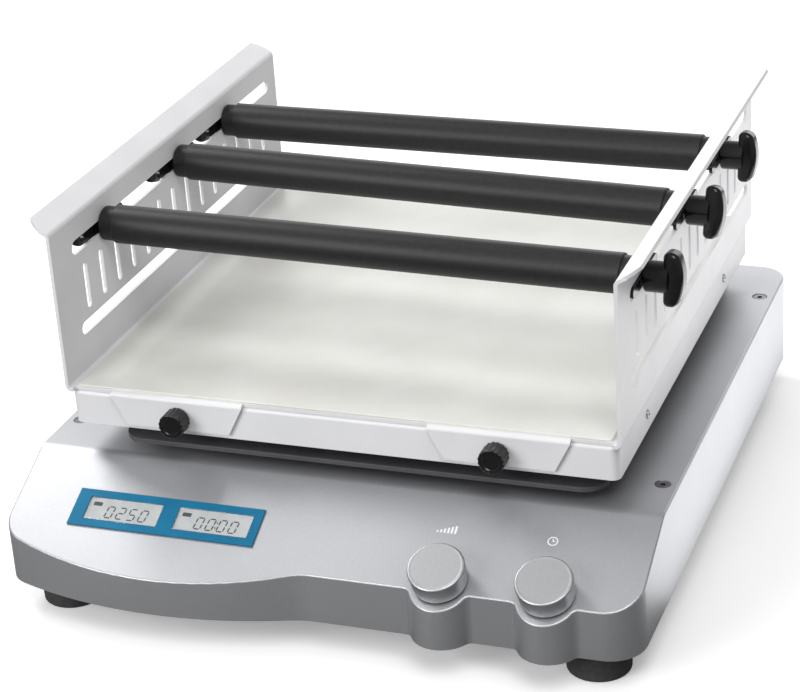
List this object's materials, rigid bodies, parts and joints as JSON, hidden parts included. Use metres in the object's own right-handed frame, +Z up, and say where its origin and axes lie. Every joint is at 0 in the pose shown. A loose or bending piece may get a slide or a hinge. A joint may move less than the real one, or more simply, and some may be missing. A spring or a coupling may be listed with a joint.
{
  "type": "reciprocal shaker",
  "caption": "Bench reciprocal shaker: low metal base with display and knobs, belt-driven sliding table, and a slotted white cradle with clamped rubber bars.",
  "frame": {"origin": "on the bench, under the middle of the whole part's box", "axes": "+X to the right as seen from the front, +Y to the back, +Z up"},
  "size_m": [0.3726, 0.411, 0.2179],
  "materials": {
    "silver_enamel": "fine metallic enamel over cast aluminium, satin",
    "white_enamel": "white powder coat, satin",
    "dark_enamel": "black powder coat, satin",
    "zinc_steel": "zinc-plated sheet and machined steel",
    "ground_steel": "hardened and ground",
    "screw_steel": "nickel-plated",
    "machined_aluminium": "machined",
    "turned_aluminium": "turned and bead-blasted, satin",
    "foot_rubber": "moulded black rubber, matt",
    "sleeve_rubber": "black foamed rubber tube, matt",
    "belt_rubber": "moulded black rubber",
    "mat_silicone": "off-white silicone, glossy",
    "black_nylon": "moulded black nylon, fine grain",
    "bezel_blue": "blue polyester film, satin gloss",
    "window_clear": "clear acrylic, polished",
    "lcd_grey": "grey reflective display",
    "circuit_green": "solder-masked glass fibre",
    "encoder_grey": "moulded body with plated bushing",
    "motor_black": "black lacquered steel can",
    "inlet_black": "moulded black nylon"
  },
  "bodies": {
    "base": {"housing": "silver_enamel", "bottom_plate": "zinc_steel", "feet": "foot_rubber", "foot_screws": "screw_steel", "cover_posts": "zinc_steel", "cover_screws": "screw_steel", "display_bezel": "bezel_blue", "display_windows": "window_clear", "lcd_modules": "lcd_grey", "control_board": "circuit_green", "encoder_bodies": "encoder_grey", "power_board": "circuit_green", "mains_inlet": "inlet_black", "switch_frame": "inlet_black", "serial_port": "zinc_steel", "guide_shafts": "ground_steel", "shaft_supports": "machined_aluminium", "motor": "motor_black", "motor_bracket": "zinc_steel", "drive_belt": "belt_rubber", "crank_spindle": "ground_steel", "crank_bearings": "ground_steel"},
    "table": {"carriage_plate": "machined_aluminium", "bearing_blocks": "machined_aluminium", "ball_bushes": "ground_steel", "drive_pin": "ground_steel", "table_posts": "machined_aluminium", "table_plate": "dark_enamel", "platform_standoffs": "zinc_steel", "platform": "white_enamel", "cradle": "white_enamel", "mat": "mat_silicone"},
    "crank": {"crank_pulley": "machined_aluminium", "eccentric": "zinc_steel"},
    "rotor": {"motor_shaft": "ground_steel", "motor_pulley": "machined_aluminium"},
    "rod": {"connecting_rod": "machined_aluminium", "rod_bearing": "ground_steel"},
    "power_rocker": {"power_rocker": "inlet_black"},
    "speed_shaft": {"speed_shaft": "ground_steel"},
    "speed_knob": {"speed_knob": "turned_aluminium"},
    "time_shaft": {"time_shaft": "ground_steel"},
    "time_knob": {"time_knob": "turned_aluminium"},
    "front_bar": {"front_bar_core": "machined_aluminium", "front_bar_sleeve": "sleeve_rubber", "front_bar_runners": "black_nylon"},
    "front_left_handle": {"front_left_handle": "black_nylon"},
    "front_right_handle": {"front_right_handle": "black_nylon"},
    "middle_bar": {"middle_bar_core": "machined_aluminium", "middle_bar_sleeve": "sleeve_rubber", "middle_bar_runners": "black_nylon"},
    "middle_left_handle": {"middle_left_handle": "black_nylon"},
    "middle_right_handle": {"middle_right_handle": "black_nylon"},
    "rear_bar": {"rear_bar_core": "machined_aluminium", "rear_bar_sleeve": "sleeve_rubber", "rear_bar_runners": "black_nylon"},
    "rear_left_handle": {"rear_left_handle": "black_nylon"},
    "rear_right_handle": {"rear_right_handle": "black_nylon"},
    "left_thumb_screw": {"left_thumb_screw": "black_nylon"},
    "right_thumb_screw": {"right_thumb_screw": "black_nylon"}
  },
  "joints": [
    {"name": "table_slide", "type": "slide", "parent": "base", "child": "table", "axis": [1, 0, 0], "range_m": [-0.005, 0.005]},
    {"name": "crank_spin", "type": "hinge", "parent": "base", "child": "crank", "pos_m": [-0.045, 0.0285, 0.03], "axis": [0, 0, 1], "continuous": true},
    {"name": "motor_spin", "type": "hinge", "parent": "base", "child": "rotor", "pos_m": [-0.123, 0.0285, 0.03], "axis": [0, 0, 1], "continuous": true},
    {"name": "rod_pivot", "type": "hinge", "parent": "crank", "child": "rod", "pos_m": [-0.045, 0.0335, 0.042], "axis": [0, 0, 1], "continuous": true},
    {"name": "rocker_tilt", "type": "hinge", "parent": "base", "child": "power_rocker", "pos_m": [0.068, 0.2, 0.048], "axis": [1, 0, 0], "range_deg": [0, 16]},
    {"name": "speed_push", "type": "slide", "parent": "base", "child": "speed_shaft", "axis": [0, 0.4226, -0.9063], "range_m": [0, 0.0008], "stiffness_N_per_m": 2500, "springref_m": -0.0005},
    {"name": "speed_turn", "type": "hinge", "parent": "speed_shaft", "child": "speed_knob", "pos_m": [0.0762, -0.1843, 0.05191], "axis": [0, -0.4226, 0.9063], "continuous": true},
    {"name": "time_push", "type": "slide", "parent": "base", "child": "time_shaft", "axis": [0, 0.4226, -0.9063], "range_m": [0, 0.0008], "stiffness_N_per_m": 2500, "springref_m": -0.0005},
    {"name": "time_turn", "type": "hinge", "parent": "time_shaft", "child": "time_knob", "pos_m": [0.1353, -0.1843, 0.05191], "axis": [0, -0.4226, 0.9063], "continuous": true},
    {"name": "front_bar_slide", "type": "slide", "parent": "table", "child": "front_bar", "axis": [0, 1, 0], "range_m": [-0.0025, 0.021]},
    {"name": "front_left_handle_turn", "type": "hinge", "parent": "front_bar", "child": "front_left_handle", "pos_m": [-0.175, -0.06647, 0.1915], "axis": [-0.9992, 0.0401, 0], "range_deg": [0, 360]},
    {"name": "front_right_handle_turn", "type": "hinge", "parent": "front_bar", "child": "front_right_handle", "pos_m": [0.175, -0.08053, 0.1915], "axis": [0.9992, -0.0401, 0], "range_deg": [0, 360]},
    {"name": "middle_bar_slide", "type": "slide", "parent": "table", "child": "middle_bar", "axis": [0, 1, 0], "range_m": [-0.021, 0.011]},
    {"name": "middle_left_handle_turn", "type": "hinge", "parent": "middle_bar", "child": "middle_left_handle", "pos_m": [-0.175, 0.03682, 0.1915], "axis": [-0.9979, 0.0645, 0], "range_deg": [0, 360]},
    {"name": "middle_right_handle_turn", "type": "hinge", "parent": "middle_bar", "child": "middle_right_handle", "pos_m": [0.175, 0.01418, 0.1915], "axis": [0.9979, -0.0645, 0], "range_deg": [0, 360]},
    {"name": "rear_bar_slide", "type": "slide", "parent": "table", "child": "rear_bar", "axis": [0, 1, 0], "range_m": [-0.0105, 0.042]},
    {"name": "rear_left_handle_turn", "type": "hinge", "parent": "rear_bar", "child": "rear_left_handle", "pos_m": [-0.175, 0.11036, 0.1915], "axis": [-0.9998, 0.0192, 0], "range_deg": [0, 360]},
    {"name": "rear_right_handle_turn", "type": "hinge", "parent": "rear_bar", "child": "rear_right_handle", "pos_m": [0.175, 0.10364, 0.1915], "axis": [0.9998, -0.0192, 0], "range_deg": [0, 360]},
    {"name": "left_thumb_screw_turn", "type": "hinge", "parent": "table", "child": "left_thumb_screw", "pos_m": [-0.0938, -0.14, 0.1042], "axis": [0, -1, 0], "range_deg": [0, 360]},
    {"name": "right_thumb_screw_turn", "type": "hinge", "parent": "table", "child": "right_thumb_screw", "pos_m": [0.0938, -0.14, 0.1042], "axis": [0, -1, 0], "range_deg": [0, 360]}
  ],
  "couplings": [
    {"joint": "motor_spin", "follows": "crank_spin", "ratio": 3},
    {"joint": "rod_pivot", "follows": "crank_spin", "ratio": -1}
  ]
}
